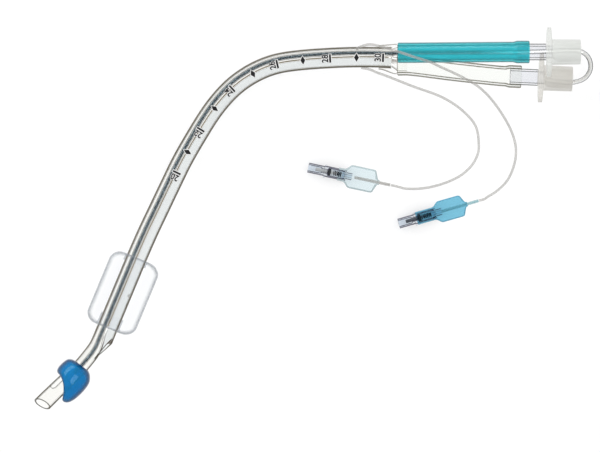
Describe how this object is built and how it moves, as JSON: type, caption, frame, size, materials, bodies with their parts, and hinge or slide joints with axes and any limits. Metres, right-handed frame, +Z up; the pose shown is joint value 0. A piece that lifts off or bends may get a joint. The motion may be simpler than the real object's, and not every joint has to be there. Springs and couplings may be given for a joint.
{
  "type": "endobronchial tube",
  "caption": "Curved double lumen airway tube with clear and blue cuffs, teal and clear limbs, winged connectors, stylet and pilot balloons with spring check valves.",
  "frame": {"origin": "on the floor, under the middle of the tube's box, measured without the pilot lines and what is on them", "axes": "+X towards the connectors along the longest side, +Y to the outer side of the bend, +Z up"},
  "size_m": [0.335, 0.2288, 0.0306],
  "materials": {
    "clear_vinyl": "clear soft vinyl, glossy",
    "limb_vinyl": "clear soft vinyl, glossy",
    "sheath_vinyl": "clear sheath over a metal core",
    "cuff_film": "thin clear film, inflated",
    "blue_film": "thick blue film, glossy",
    "teal_vinyl": "teal tinted vinyl, glossy",
    "milky_plastic": "milky translucent moulded plastic",
    "soft_metal": "soft drawn wire",
    "hard_clear": "clear hard moulded plastic",
    "black_rubber": "moulded seal rubber",
    "grey_plastic": "moulded grey plastic",
    "spring_steel": "drawn spring wire",
    "pilot_clear_film": "clear film with a faint blue cast",
    "pilot_blue_film": "light blue translucent film",
    "line_vinyl": "thin clear vinyl line"
  },
  "bodies": {
    "tube": {"double_lumen_shaft": "clear_vinyl", "tracheal_cuff": "cuff_film", "bronchial_cuff": "blue_film", "junction_collar": "clear_vinyl", "bronchial_limb": "teal_vinyl", "tracheal_limb": "limb_vinyl", "bronchial_connector": "milky_plastic", "tracheal_connector": "milky_plastic", "stylet_core": "soft_metal", "stylet_sheath": "sheath_vinyl", "tracheal_valve_housing": "hard_clear", "tracheal_valve_tail": "hard_clear", "tracheal_valve_spring": "spring_steel", "tracheal_pilot_balloon": "pilot_clear_film", "tracheal_inlet_sleeve": "line_vinyl", "tracheal_pilot_line": "line_vinyl", "bronchial_valve_housing": "hard_clear", "bronchial_valve_tail": "hard_clear", "bronchial_valve_spring": "spring_steel", "bronchial_pilot_balloon": "pilot_blue_film", "bronchial_inlet_sleeve": "line_vinyl", "bronchial_pilot_line": "line_vinyl"},
    "tracheal_plunger": {"tracheal_valve_plunger": "grey_plastic", "tracheal_valve_seal": "black_rubber"},
    "bronchial_plunger": {"bronchial_valve_plunger": "grey_plastic", "bronchial_valve_seal": "black_rubber"}
  },
  "joints": [
    {"name": "tracheal_plunger_slide", "type": "slide", "parent": "tube", "child": "tracheal_plunger", "axis": [0.9781, -0.2079, 0], "range_m": [0, 0.0015], "stiffness_N_per_m": 200, "deforming": ["tracheal_valve_spring"]},
    {"name": "bronchial_plunger_slide", "type": "slide", "parent": "tube", "child": "bronchial_plunger", "axis": [0.9613, 0.2756, 0], "range_m": [0, 0.0015], "stiffness_N_per_m": 200, "deforming": ["bronchial_valve_spring"]}
  ]
}
